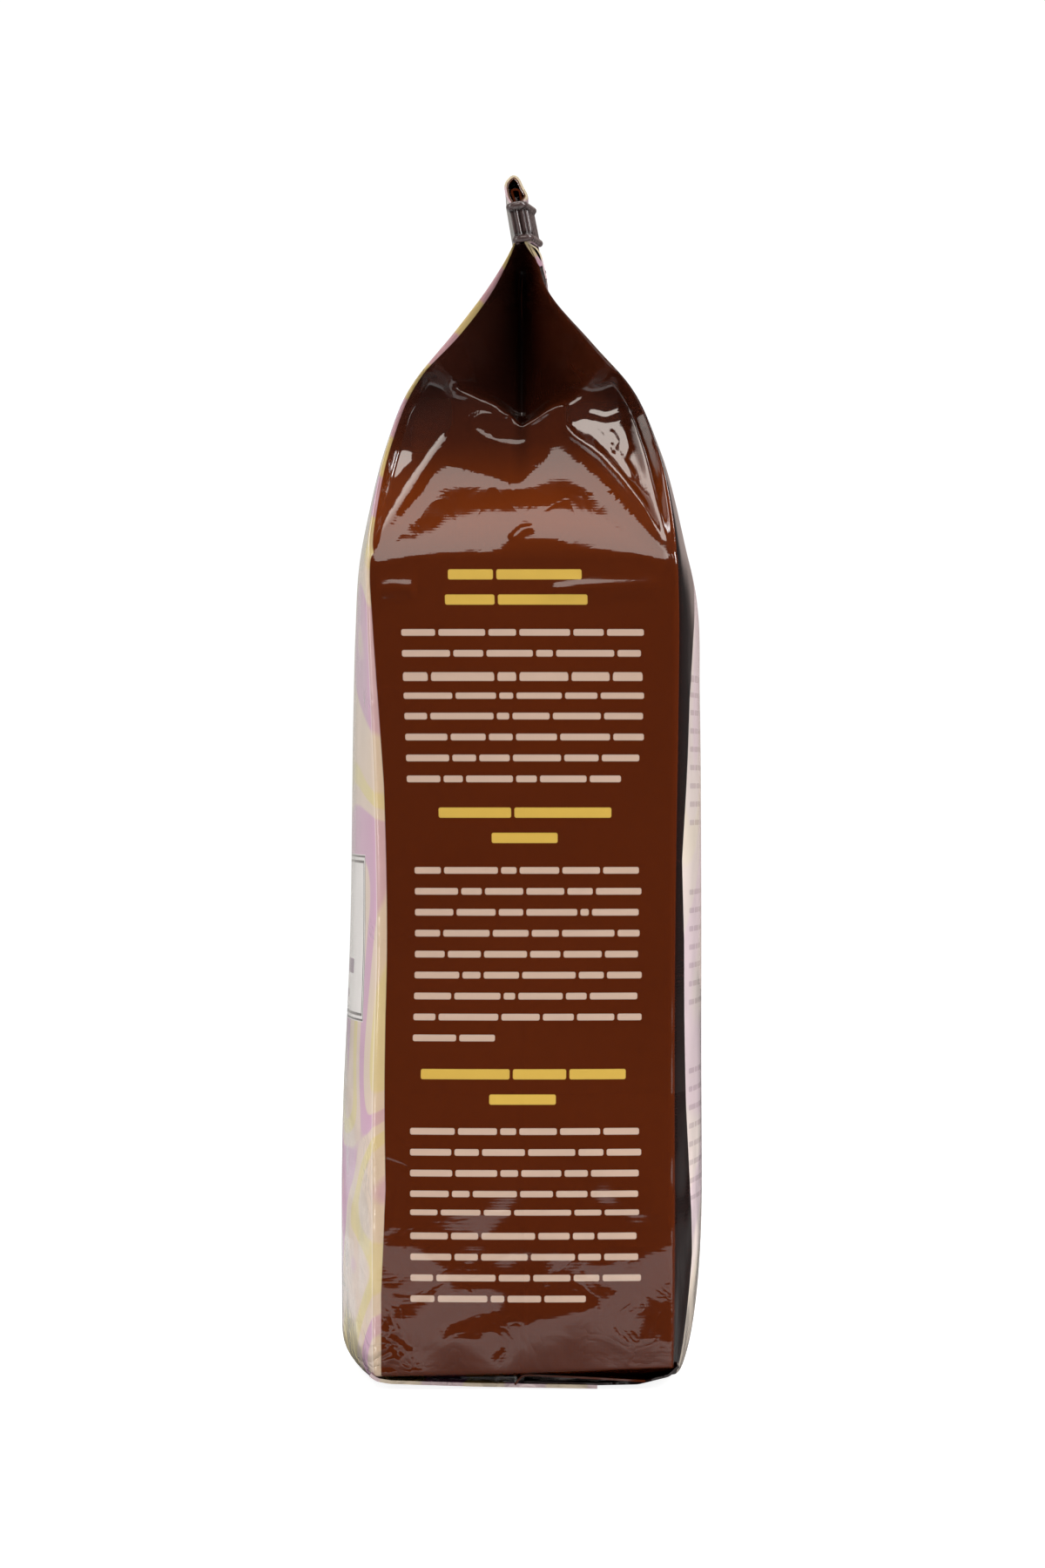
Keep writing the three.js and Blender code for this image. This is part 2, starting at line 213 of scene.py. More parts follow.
def relaxed(points, rounds):
    """The sheet with its folds rounded a little, its ends left where they are and its edges joined."""
    tube = points[:, :-1]
    for _ in range(rounds):
        beside = (np.roll(tube, 1, axis=1) + np.roll(tube, -1, axis=1)) / 2
        rise = tube.copy()
        rise[1:-1] = (tube[2:] + tube[:-2]) / 2
        tube = tube * 0.5 + beside * 0.25 + rise * 0.25
    return np.concatenate([tube, tube[:, :1]], axis=1)


sheet = relaxed(sheet, 4)


def distance_to(path, y, z):
    """Distance in mm from each point to a line through the path's points, and how far along."""
    best = np.full(y.shape, 1e9)
    place = np.zeros(y.shape)
    for step, ((y0, z0), (y1, z1)) in enumerate(zip(path, path[1:])):
        run = max(1e-9, (y1 - y0) ** 2 + (z1 - z0) ** 2)
        t = np.clip(((y - y0) * (y1 - y0) + (z - z0) * (z1 - z0)) / run, 0, 1)
        gap = np.hypot(y - lerp(y0, y1, t), z - lerp(z0, z1, t))
        place = np.where(gap < best, (step + t) / (len(path) - 1), place)
        best = np.minimum(best, gap)
    return best, place


# Above the shoulder the film of a gusset is pushed out between its folds like a pillow. Its lean
# from upright changes at four lines, each given as (y, z) in mm, seen from the near gusset.
FOLD_LINES = [
    [(-33, 173.0), (-23.5, 174.5), (-14.4, 175.4), (-6, 175.2), (-2.6, 176.4), (0.6, 178.4), (6.0, 178.4),
     (9.0, 176.8), (13.4, 176.3), (19.3, 175.7), (25.2, 175.2), (33, 173.4)],
    [(-33, 173.8), (-30.3, 175.4), (-26.7, 177.8), (-20.7, 179.4), (-14.6, 182.5), (-5.5, 184.7),
     (2.2, 184.9), (14.1, 184.9), (18.7, 182.2), (21.5, 180.4), (25.3, 177.2), (33, 173.9)],
    [(-33, 174.2), (-28, 179.0), (-23.6, 182.5), (-19.4, 187.4), (-15.7, 190.0), (-4, 189.6), (-0.9, 189.2),
     (4.2, 190.7), (9, 191.5), (16.1, 188.5), (19.6, 183.8), (25.3, 178.0), (33, 174.3)],
    [(-33, 174.8), (-23.6, 186.0), (-16.5, 196.5), (-13.3, 194.5), (-6, 192.5), (-0.9, 189.8), (1, 192.0),
     (3.1, 195.0), (4.5, 198.5), (8.4, 200.3), (11.5, 197.0), (16.3, 191.6), (23, 184.8), (28.2, 179.9),
     (33, 175.0)],
]
LIP = [(-34, 216), (-20, 213.5), (-15, 211), (-10, 209.6), (-5.5, 208), (-1.5, 205), (0, 203.4), (2.8, 205),
       (6, 207.4), (8.8, 208.3), (14, 210.5), (20, 213), (34, 216)]
# Patches that lean back on their own, as (outline of (y, z), lean in degrees)
LEANING = [
    ([(9.0, 202.6), (12.8, 204.5), (16.0, 205.0), (20.0, 204.2), (24.6, 206.0), (25.4, 200.5),
      (26.6, 196.0), (28.2, 188.4), (31.4, 176.4), (27.6, 181.6), (21.0, 191.6), (15.3, 198.2)], 17),
    ([(-26.9, 198.0), (-23.0, 198.0), (-23.4, 195.0), (-27.2, 191.0), (-28.0, 188.0)], 16),
    ([(-33.2, 175.8), (-30.2, 180.6), (-25.0, 189.8), (-21.0, 196.0), (-17.5, 200.8), (-14.8, 203.0),
      (-16.0, 200.0), (-19.6, 195.2), (-23.9, 188.6), (-28.6, 181.0), (-31.6, 175.8)], 15),
]
PLEAT_DEPTH = [(196, 26), (206, 27.4), (222, 29), (240, 30.5)]
LATTICE = 0.4
PILLOW_ROUNDS = 44
lattice_y = np.arange(-35, 35 + LATTICE, LATTICE)
lattice_z = np.arange(164, 244, LATTICE)


def softened(table, rounds):
    """A table of heights with its steps smoothed."""
    for _ in range(rounds):
        padded = np.pad(table, 1, mode="edge")
        beside = padded[2:, 1:-1] + padded[:-2, 1:-1] + padded[1:-1, 2:] + padded[1:-1, :-2]
        table = table * 0.5 + beside / 8
    return table


def inside_outline(outline, y, z):
    """Whether each point lies inside a closed outline."""
    inside = np.zeros(y.shape, dtype=bool)
    for (y0, z0), (y1, z1) in zip(outline, outline[1:] + outline[:1]):
        crosses = (z0 > z) != (z1 > z)
        inside ^= crosses & (y < lerp(y0, y1, (z - z0) / (z1 - z0 + 1e-9)))
    return inside


def shoulder_depth():
    """How far in from the wall's plane the gusset's film lies above the shoulder, as a table."""
    y, z = np.meshgrid(lattice_y, lattice_z)
    edges = [np.interp(lattice_y, *np.array(line, float).T)[None, :] for line in FOLD_LINES]
    for lower, upper in zip(edges, edges[1:]):
        upper[:] = np.maximum(upper, lower + 0.3)
    lean = np.zeros(y.shape)
    lean = np.where(z > edges[0], lerp(14, 27, np.clip((z - edges[0]) / (edges[1] - edges[0]), 0, 1)), lean)
    swing = np.sin(np.pi * np.clip((z - edges[1]) / (edges[2] - edges[1]), 0, 1))
    lean = np.where(z > edges[1], 28 + 2 * swing, lean)
    lean = np.where(z > edges[2], lerp(27, 13, np.clip((z - edges[2]) / (edges[3] - edges[2]), 0, 1)), lean)
    lean = np.where(z > edges[3], 4, lean)
    pillow = np.cumsum(np.tan(np.radians(lean)), axis=0) * LATTICE
    for _ in range(PILLOW_ROUNDS):
        padded = np.pad(pillow, ((0, 0), (1, 1)), mode="edge")
        pillow = pillow * 0.5 + (padded[:, 2:] + padded[:, :-2]) * 0.25
    for outline, angle in LEANING:
        extra = np.where(inside_outline(outline, y, z), math.tan(math.radians(angle)), 0.0)
        pillow += np.cumsum(extra, axis=0) * LATTICE
    pillow = softened(pillow, 2)

    front = smooth(FRONT_CREASE, z)
    back = smooth(BACK_CREASE, z)
    to_front = np.clip((y + front) / np.maximum(front, 1), 0, 1)
    to_back = np.clip((back - y) / np.maximum(back, 1), 0, 1)
    pleat = smooth(PLEAT_DEPTH, z) * np.minimum(to_front, to_back) ** 1.15
    lip = np.interp(lattice_y, *np.array(LIP, float).T)[None, :]
    past_lip = np.clip((z - lip + 0.8) / 2.4, 0, 1)
    depth = lerp(pillow, np.maximum(pleat, pillow * to_front * to_back), past_lip**2 * (3 - 2 * past_lip))
    return softened(depth, 1)


def from_table(table, y, z):
    """The table's value at each point."""
    across_at = np.clip((y - lattice_y[0]) / LATTICE, 0, len(lattice_y) - 1.001)
    up_at = np.clip((z - lattice_z[0]) / LATTICE, 0, len(lattice_z) - 1.001)
    c, r = across_at.astype(int), up_at.astype(int)
    u, v = across_at - c, up_at - r
    return lerp(lerp(table[r, c], table[r, c + 1], u), lerp(table[r + 1, c], table[r + 1, c + 1], u), v)


# Sharp-topped wrinkles on the pillow, as (path of (y, z), width, height)
WRINKLES = [
    ([(-16.5, 211.3), (-10, 209.4), (-5.5, 207.9), (-3.1, 206.7), (-1.4, 205.0)], 0.9, 2.2),
    ([(-1.4, 205.0), (-3.6, 204.8), (-8.4, 205.3), (-10.6, 204.1), (-10.4, 202.1), (-7.8, 200.2),
      (-4.6, 199), (-0.9, 198.5), (2.6, 199.4)], 0.7, 0.5),
    ([(-1.1, 203.2), (2.8, 205.0), (5.9, 207.4), (9.4, 208.3)], 1.1, 1.6),
    ([(8.8, 208.3), (8.9, 204.9), (9.4, 202.7), (10.8, 200.8), (13.9, 198.6), (16.8, 196.3), (20.7, 191.9),
      (25.3, 186.2), (31.2, 176.0)], 0.8, 1.1),
    ([(14, 205.6), (18, 204.6), (24.6, 207.0)], 0.7, 0.5),
    ([(-6, 200.9), (-2.5, 202.4), (1.2, 202.0)], 0.7, 0.4),
    ([(2.2, 211), (2.9, 215), (4.6, 221), (6.6, 225)], 0.9, 0.9),
    ([(-12, 223), (-8.8, 221.0), (-7, 218.5), (-4.5, 217.5)], 0.6, 0.6),
    ([(8.5, 221), (9.2, 217), (11.2, 214), (13.2, 212.6)], 0.6, 0.6),
    ([(-30.4, 167.6), (-27, 168.2), (-22, 167.8)], 1.9, 0.9),
    ([(5, 167.2), (14, 168.2), (30, 168.6)], 1.6, 0.8),
    ([(-2.4, 178.2), (0.2, 180.6), (2.6, 181.0)], 0.8, 0.5),
    ([(13.0, 201.6), (18.6, 195.8), (22.6, 190.2), (27.4, 183.0)], 0.5, 0.4),
    ([(16.0, 201.8), (20.6, 196.6), (24.0, 190.4)], 0.5, 0.45),
    ([(18.6, 202.0), (20.0, 199.6), (19.2, 197.0)], 0.5, 0.5),
    ([(21.6, 203.0), (22.6, 198.6), (21.6, 195.4), (23.8, 192.0)], 0.5, 0.5),
]
depth = shoulder_depth()
for path, width, height in WRINKLES:
    y, z = np.meshgrid(lattice_y, lattice_z)
    gap, place = distance_to(path, y, z)
    ends = np.clip(np.minimum(place, 1 - place) * 7 + 0.2, 0, 1)
    depth = depth - height * ends * np.exp(-(np.sqrt(gap**2 + 0.1) / width) ** 1.4)

for wall, mirror in (("right", 1), ("left", -1)):
    y = sheet[..., 1] * mirror
    inset = from_table(depth, y, sheet[..., 2])
    front = smooth(FRONT_CREASE, sheet[..., 2])
    back = smooth(BACK_CREASE, sheet[..., 2])
    to_edge = np.minimum(sheet[..., 1] + front, back - sheet[..., 1])
    inset = inset * np.clip(to_edge / 2.5, 0, 1) ** 0.7
    take = (walls == wall) & (film > 166) & (np.abs(across) < 0.9999)
    base = HALF_PANEL + smooth(SIDE_SWELL, sheet[..., 2]) * (1 - across**2)
    sheet[..., 0] = np.where(take, mirror * (base - inset), sheet[..., 0])
sheet = relaxed(sheet, 1)
to_neck = np.clip((sheet[..., 2] - 234) / 7, 0, 1)
sheet[..., 1] += TURN * (HALF_PANEL - sheet[..., 0]) * to_neck**2 * (3 - 2 * to_neck)


def close_end(piece, here, there):
    """Closes the piece's open loop that is nearer to here than to there with a face."""
    bpy.ops.object.mode_set(mode="EDIT")
    bpy.ops.mesh.select_all(action="DESELECT")
    bpy.ops.mesh.select_non_manifold()
    bpy.ops.object.mode_set(mode="OBJECT")
    place = np.zeros(len(piece.data.vertices) * 3)
    piece.data.vertices.foreach_get("co", place)
    place = place.reshape(-1, 3)
    on_loop = np.zeros(len(place), dtype=bool)
    piece.data.vertices.foreach_get("select", on_loop)
    nearer = np.linalg.norm(place - here * MM, axis=1) < np.linalg.norm(place - there * MM, axis=1)
    piece.data.edges.foreach_set("select", np.zeros(len(piece.data.edges), dtype=bool))
    piece.data.vertices.foreach_set("select", on_loop & nearer)
    bpy.ops.object.mode_set(mode="EDIT")
    bpy.ops.mesh.edge_face_add()
    bpy.ops.object.mode_set(mode="OBJECT")


def rolled_sheet(name, points, film_place, pinched=False):
    """A flat grid laid on a table of points in mm, its first and last columns joined. Pinched ends
    are welded where they meet, and open ones are closed with a face. film_place is the same table
    of the film's own (round, up) distances in mm."""
    rows, cols = points.shape[:2]
    bpy.ops.object.select_all(action="DESELECT")
    bpy.ops.mesh.primitive_grid_add(x_subdivisions=cols - 1, y_subdivisions=rows - 1, size=1)
    piece = bpy.context.object
    piece.name = name
    piece.data.name = name
    flat = np.zeros(len(piece.data.vertices) * 3)
    piece.data.vertices.foreach_get("co", flat)
    flat = flat.reshape(-1, 3)
    column = np.rint((flat[:, 0] + 0.5) * (cols - 1)).astype(int)
    row = np.rint((flat[:, 1] + 0.5) * (rows - 1)).astype(int)
    piece.data.vertices.foreach_set("co", (points[row, column] * MM).ravel())
    corner = np.zeros(len(piece.data.loops), dtype=np.int32)
    piece.data.loops.foreach_get("vertex_index", corner)
    piece.data.uv_layers[0].name = "film"
    on_film = film_place[row[corner], column[corner]].astype(np.float32)
    piece.data.uv_layers["film"].data.foreach_set("uv", on_film.ravel())
    bpy.ops.object.mode_set(mode="EDIT")
    bpy.ops.mesh.select_mode(type="VERT")
    bpy.ops.mesh.select_all(action="DESELECT")
    bpy.ops.object.mode_set(mode="OBJECT")
    welded = (column == 0) | (column == cols - 1)
    if pinched:
        welded |= (row == 0) | (row == rows - 1)
    piece.data.vertices.foreach_set("select", welded)
    bpy.ops.object.mode_set(mode="EDIT")
    bpy.ops.mesh.remove_doubles(threshold=0.00002)
    bpy.ops.object.mode_set(mode="OBJECT")
    if not pinched:
        first, last = points[0].mean(axis=0), points[-1].mean(axis=0)
        close_end(piece, first, last)
        close_end(piece, last, first)
    bpy.ops.object.mode_set(mode="EDIT")
    bpy.ops.mesh.select_all(action="SELECT")
    bpy.ops.mesh.normals_make_consistent(inside=False)
    bpy.ops.object.mode_set(mode="OBJECT")
    shell = bmesh.new()
    shell.from_mesh(piece.data)
    if shell.calc_volume(signed=True) < 0:
        bpy.ops.object.mode_set(mode="EDIT")
        bpy.ops.mesh.flip_normals()
        bpy.ops.object.mode_set(mode="OBJECT")
    shell.free()
    return piece


wall_runs = [HALF_PANEL, GUSSET_WIDTH, PANEL_WIDTH, GUSSET_WIDTH, HALF_PANEL]
wall_squares = [PANEL_SQUARES // 2, GUSSET_SQUARES, PANEL_SQUARES, GUSSET_SQUARES, PANEL_SQUARES // 2]
steps = np.concatenate([[run / count] * count for run, count in zip(wall_runs, wall_squares)])
round_film = np.concatenate([[0], np.cumsum(steps)])
film_place = np.stack([round_film[None, :].repeat(len(ROWS), axis=0), film], axis=-1)
pouch = rolled_sheet("film_pouch", sheet, film_place)
bpy.ops.object.shade_smooth()
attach(pouch, "root")
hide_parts("bag")


class Shader:
    """Adds nodes to a material or group, one call for each node."""

    def __init__(self, tree):
        self.tree = tree
        tree.nodes.clear()

    def add(self, kind, *values, **settings):
        made = self.tree.nodes.new(kind)
        for name, value in settings.items():
            setattr(made, name, value)
        for socket, value in zip(made.inputs, values):
            self.put(socket, value)
        return made

    def put(self, socket, value):
        if isinstance(value, bpy.types.NodeSocket):
            self.tree.links.new(value, socket)
        elif value is not None:
            socket.default_value = value

    def math(self, operation, *values):
        return self.add("ShaderNodeMath", *values, operation=operation).outputs[0]

    def mix(self, factor, a, b):
        made = self.add("ShaderNodeMix", data_type="RGBA")
        self.put(made.inputs[0], factor)
        self.put(made.inputs[6], a)
        self.put(made.inputs[7], b)
        return made.outputs[2]

    def step(self, value, low, high, start=0.0, end=1.0):
        """start below low, end above high, and a straight run between them."""
        return self.add("ShaderNodeMapRange", value, low, high, start, end).outputs[0]

    def ramp(self, value, stops, low=0.0, high=1.0):
        """A colour ramp with straight runs through stops of (value, colour)."""
        made = self.add("ShaderNodeValToRGB", self.step(value, float(low), float(high)))
        elements = made.color_ramp.elements
        while len(elements) < len(stops):
            elements.new(0.5)
        for element, (place, colour) in zip(elements, stops):
            element.position = (place - low) / (high - low)
            element.color = colour
        return made.outputs

    def along(self, value, stations):
        """Straight runs through stations of (value, result), held in the alpha of a ramp."""
        top = max(result for _, result in stations)
        stops = [(place, (0.0, 0.0, 0.0, result / top)) for place, result in stations]
        shares = self.ramp(value, stops, stations[0][0], stations[-1][0])
        return self.math("MULTIPLY", shares["Alpha"], float(top))

    def inside(self, value, low, high, soft=0.12):
        """1 where the value lies between low and high, with soft edges."""
        rise = self.step(value, low - soft, low)
        fall = self.step(value, high, high + soft, 1.0, 0.0)
        return self.math("MULTIPLY", rise, fall)

    def noise(self, place, scale, detail=2.0, roughness=0.5, distortion=0.0):
        made = self.add("ShaderNodeTexNoise", place, noise_dimensions="3D")
        self.put(made.inputs["Scale"], scale)
        self.put(made.inputs["Detail"], detail)
        self.put(made.inputs["Roughness"], roughness)
        self.put(made.inputs["Distortion"], distortion)
        return made.outputs[0]

    def point(self, x, y, z=0.0):
        return self.add("ShaderNodeCombineXYZ", x, y, z).outputs[0]

    def group(self, tree, **values):
        made = self.tree.nodes.new("ShaderNodeGroup")
        made.node_tree = tree
        for name, value in values.items():
            self.put(made.inputs[name], value)
        return made


def group_of(name, inputs, outputs):
    """A node group with these named inputs (with their values) and outputs (with their kinds)."""
    tree = bpy.data.node_groups.new(name, "ShaderNodeTree")
    for label, value in inputs.items():
        kind = "NodeSocketVector" if isinstance(value, tuple) else "NodeSocketFloat"
        tree.interface.new_socket(label, in_out="INPUT", socket_type=kind).default_value = value
    for label, kind in outputs.items():
        tree.interface.new_socket(label, in_out="OUTPUT", socket_type=kind)
    shader = Shader(tree)
    return tree, shader, shader.add("NodeGroupInput").outputs, shader.add("NodeGroupOutput").inputs


def rgb(red, green, blue):
    """A screen colour of 0 to 255 as linear light."""
    parts = [c / 255 for c in (red, green, blue)]
    return tuple(c / 12.92 if c <= 0.04045 else ((c + 0.055) / 1.055) ** 2.4 for c in parts) + (1,)


# Rows of plain bars with rounded ends, each as long as a word, stand where a pack has its text.
bars, g, given, result = group_of(
    "word bars",
    {"Across": 0.0, "Up": 0.0, "Left": 0.0, "Right": 10.0, "Top": 0.0, "Rows": 1.0, "Pitch": 4.4,
     "Height": 1.5, "Ragged": 2.0, "Last": 1.0, "Word": 8.0},
    {"Mask": "NodeSocketFloat"},
)
WORD_GAP = 0.32
CORNER = 0.45
down = g.math("ADD", g.math("DIVIDE", g.math("SUBTRACT", given["Top"], given["Up"]), given["Pitch"]), 0.5)
line = g.math("FLOOR", down)
off_line = g.math("ABSOLUTE", g.math("SUBTRACT", g.math("FRACT", down), 0.5))
off_line = g.math("MULTIPLY", off_line, given["Pitch"])
inside_up = g.math("SUBTRACT", g.math("MULTIPLY", given["Height"], 0.5), off_line)
mask = g.math("GREATER_THAN", line, -0.5)
mask = g.math("MULTIPLY", mask, g.math("LESS_THAN", line, g.math("SUBTRACT", given["Rows"], 0.5)))
row_seed = g.math("ADD", line, given["Top"])
chance = g.add("ShaderNodeTexWhiteNoise", None, row_seed, noise_dimensions="1D").outputs["Value"]
width = g.math("SUBTRACT", given["Right"], given["Left"])
is_last = g.math("GREATER_THAN", line, g.math("SUBTRACT", given["Rows"], 1.5))
is_short = g.math("MULTIPLY", is_last, g.math("SUBTRACT", 1.0, given["Last"]))
width = g.math("MULTIPLY", width, g.math("SUBTRACT", 1.0, is_short))
width = g.math("SUBTRACT", width, g.math("MULTIPLY", given["Ragged"], chance))
words = g.math("MAXIMUM", 1.0, g.math("ROUND", g.math("DIVIDE", width, given["Word"])))
word_width = g.math("DIVIDE", width, words)
at = g.math("DIVIDE", g.math("SUBTRACT", given["Across"], given["Left"]), word_width)
mask = g.math("MULTIPLY", mask, g.math("GREATER_THAN", at, 0.0))
mask = g.math("MULTIPLY", mask, g.math("LESS_THAN", at, words))
space = g.math("ROUND", at)
between = g.math("MULTIPLY", g.math("GREATER_THAN", space, 0.5),
                 g.math("LESS_THAN", space, g.math("SUBTRACT", words, 0.5)))
shift = g.add("ShaderNodeTexWhiteNoise", g.point(space, row_seed), noise_dimensions="2D").outputs["Value"]
shift = g.math("MULTIPLY", g.math("SUBTRACT", shift, 0.5), g.math("MULTIPLY", between, 0.76))
off_space = g.math("ABSOLUTE", g.math("SUBTRACT", g.math("SUBTRACT", at, space), shift))
inside_word = g.math("SUBTRACT", g.math("MULTIPLY", off_space, word_width), WORD_GAP)
short_up = g.math("MAXIMUM", 0.0, g.math("SUBTRACT", CORNER, inside_up))
short_across = g.math("MAXIMUM", 0.0, g.math("SUBTRACT", CORNER, inside_word))
corner = g.math("SQRT", g.math("ADD", g.math("MULTIPLY", short_up, short_up),
                               g.math("MULTIPLY", short_across, short_across)))
g.put(result["Mask"], g.math("MULTIPLY", mask, g.step(corner, CORNER - 0.09, CORNER + 0.03, 1.0, 0.0)))

# Marbled fields of cream, pale yellow and lilac
marbling, g, given, result = group_of(
    "marbling",
    {"Place": (0.0, 0.0, 0.0), "Scale": 0.03, "Bands": 5.0},
    {"Colour": "NodeSocketColor", "Band": "NodeSocketFloat"},
)
drift = g.noise(given["Place"], given["Scale"], detail=1.0, roughness=0.4, distortion=0.9)
band = g.math("FRACT", g.math("MULTIPLY", drift, given["Bands"]))
tints = g.ramp(band, [
    (0.00, rgb(212, 196, 146)), (0.18, rgb(212, 196, 146)), (0.22, rgb(211, 191, 172)),
    (0.48, rgb(211, 192, 176)), (0.52, rgb(197, 157, 181)), (0.76, rgb(198, 161, 183)),
    (0.80, rgb(211, 191, 178)), (0.96, rgb(211, 192, 176)), (1.00, rgb(212, 196, 146)),
])
g.put(result["Colour"], tints["Color"])
g.put(result["Band"], band)

# Fine grid of the laminate, soft dents, crumples and scuffs: a height in mm, and a roughness
laminate, g, given, result = group_of(
    "laminate",
    {"Place": (0.0, 0.0, 0.0), "Film": (0.0, 0.0, 0.0), "Dents": 0.7, "Crumple": 0.0},
    {"Height": "NodeSocketFloat", "Roughness": "NodeSocketFloat"},
)
parts = g.add("ShaderNodeSeparateXYZ", given["Film"])
threads = g.math("ADD", g.math("SINE", g.math("MULTIPLY", parts.outputs[0], 2 * math.pi / 0.7)),
                 g.math("SINE", g.math("MULTIPLY", parts.outputs[1], 2 * math.pi / 0.7)))
dents = g.noise(given["Place"], 42.0, detail=1.5)
folds = g.noise(given["Place"], 130.0, distortion=0.8)
ridges = g.math("ABSOLUTE", g.math("SUBTRACT", folds, 0.5))
height = g.math("ADD", g.math("MULTIPLY", threads, 0.0012), g.math("MULTIPLY", dents, given["Dents"]))
height = g.math("ADD", height, g.math("MULTIPLY", ridges, given["Crumple"]))
g.put(result["Height"], height)
scuff = g.noise(given["Place"], 260.0, detail=4.0)
g.put(result["Roughness"], g.step(scuff, 0.35, 0.75, 0.05, 0.11))

FRONT_MIDDLE = HALF_PANEL + GUSSET_WIDTH + HALF_PANEL
RIGHT_MIDDLE = FRONT_MIDDLE + HALF_PANEL + HALF_GUSSET
LEFT_MIDDLE = HALF_PANEL + HALF_GUSSET
FILM_ROUND = 2 * (PANEL_WIDTH + GUSSET_WIDTH)

film_print = bpy.data.materials.new("printed film")
film_print.use_nodes = True
s = Shader(film_print.node_tree)
surface = s.add("ShaderNodeBsdfPrincipled")
place = s.add("ShaderNodeUVMap", uv_map="film").outputs[0]
solid_place = s.add("ShaderNodeTexCoord").outputs["Object"]
parts = s.add("ShaderNodeSeparateXYZ", place)
round_at = parts.outputs[0]
up_at = parts.outputs[1]

# Front panel: marbled, with a plain white label in a double grey line
swirl = s.group(marbling, Place=place, Scale=0.016, Bands=4.2)
front_colour = swirl.outputs["Colour"]
LABEL_HALF = 32.0
LABEL_BOTTOM = 76.5
LABEL_TOP = 112.0
from_middle = s.math("ABSOLUTE", s.math("SUBTRACT", round_at, FRONT_MIDDLE))
label_off = s.math("ABSOLUTE", s.math("SUBTRACT", up_at, (LABEL_TOP + LABEL_BOTTOM) / 2))
label_rise = s.math("SUBTRACT", label_off, (LABEL_TOP - LABEL_BOTTOM) / 2 - LABEL_HALF)
label_edge = s.math("SUBTRACT", LABEL_HALF, s.math("MAXIMUM", from_middle, label_rise))
on_label = s.step(label_edge, -0.05, 0.1)
front_colour = s.mix(on_label, front_colour, rgb(226, 222, 220))
for inset, thick in ((0.25, 0.3), (1.3, 0.45)):
    front_colour = s.mix(s.inside(label_edge, inset, inset + thick), front_colour, rgb(92, 86, 84))
bean_across = s.math("DIVIDE", s.math("SUBTRACT", round_at, FRONT_MIDDLE), 7.5)
bean_up = s.math("DIVIDE", s.math("SUBTRACT", up_at, 99.0), 5.2)
bean_reach = s.math("ADD", s.math("MULTIPLY", bean_across, bean_across),
                    s.math("MULTIPLY", bean_up, bean_up))
slit_wave = s.math("MULTIPLY", s.math("SINE", s.math("MULTIPLY", bean_across, 3.0)), 0.22)
off_slit = s.math("ABSOLUTE", s.math("SUBTRACT", bean_up, slit_wave))
bean = s.math("MULTIPLY", s.step(bean_reach, 0.96, 1.0, 1.0, 0.0), s.step(off_slit, 0.07, 0.1))
front_colour = s.mix(bean, front_colour, rgb(92, 44, 22))
for top, height, half in ((88.0, 3.2, 20.0), (82.0, 1.8, 13.0)):
    strip = s.group(bars, Across=round_at, Up=up_at, Left=FRONT_MIDDLE - half, Right=FRONT_MIDDLE + half,
                    Top=top, Height=height, Ragged=0.0, Word=14.0)
    front_colour = s.mix(strip.outputs[0], front_colour, rgb(120, 92, 118))

# Back panel: pale fields with faint bars, and a dark band beside the near gusset
back_at = s.math("MODULO", s.math("ADD", round_at, FILM_ROUND / 2), FILM_ROUND)
back_at = s.math("SUBTRACT", back_at, FILM_ROUND / 2)
pale_swirl = s.group(marbling, Place=s.point(s.math("ADD", back_at, 400.0), up_at), Scale=0.008, Bands=3.0)
back_colour = s.mix(0.62, pale_swirl.outputs["Colour"], rgb(246, 232, 230))
for top, rows, word in ((150.0, 9.0, 7.0), (104.0, 7.0, 6.0), (66.0, 8.0, 6.5)):
    column_bars = s.group(bars, Across=back_at, Up=up_at, Left=-30.0, Right=33.0, Top=top, Rows=rows,
                          Pitch=3.9, Height=1.2, Ragged=7.0, Last=0.5, Word=word)
    back_colour = s.mix(s.math("MULTIPLY", column_bars.outputs[0], 0.3), back_colour, rgb(120, 92, 104))

BROWN = rgb(75, 28, 6)
WARM_BROWN = rgb(82, 32, 8)
DARK_BROWN = rgb(26, 9, 7)
BAND_WIDTH = [(0, 11.5), (12, 13.5), (27, 16), (39, 13), (59, 9), (77, 7.6), (94, 7), (111, 4.8),
              (128, 8.2), (145, 11), (158, 15.5), (166, 21), (171, 27), (175, 33), (178, 42)]
band_width = s.along(up_at, BAND_WIDTH)
for gap_to_crease in (s.math("ADD", HALF_PANEL, back_at), s.math("SUBTRACT", HALF_PANEL, back_at)):
    on_band = s.step(s.math("SUBTRACT", gap_to_crease, band_width), -0.1, 0.1, 1.0, 0.0)
    back_colour = s.mix(on_band, back_colour, DARK_BROWN)

# Gussets: brown, with yellow headings over blocks of pale bars
WRAP = [(20, 1.7), (42, 2.7), (78, 2.1), (127, 2.0), (159, 1.1), (170, 0.8), (216, 0.8), (240, 6.0)]
wrap = s.along(up_at, WRAP)
tone = s.noise(solid_place, 14.0)
gusset_colour = s.mix(s.step(tone, 0.3, 0.7), BROWN, WARM_BROWN)
in_space = s.add("ShaderNodeSeparateXYZ", solid_place).outputs
# Painted shade: the gusset's brown is darkened in the recessed neck above the shoulder, more on its -Y side
neck_painted_shade = s.math("MULTIPLY", s.step(in_space[2], 0.188, 0.212), s.step(in_space[1], 0.004, -0.002, 0.55, 0.9))
neck_painted_shade = s.math("MULTIPLY", neck_painted_shade, s.step(in_space[2], 0.2405, 0.2425, 1.0, 0.0))
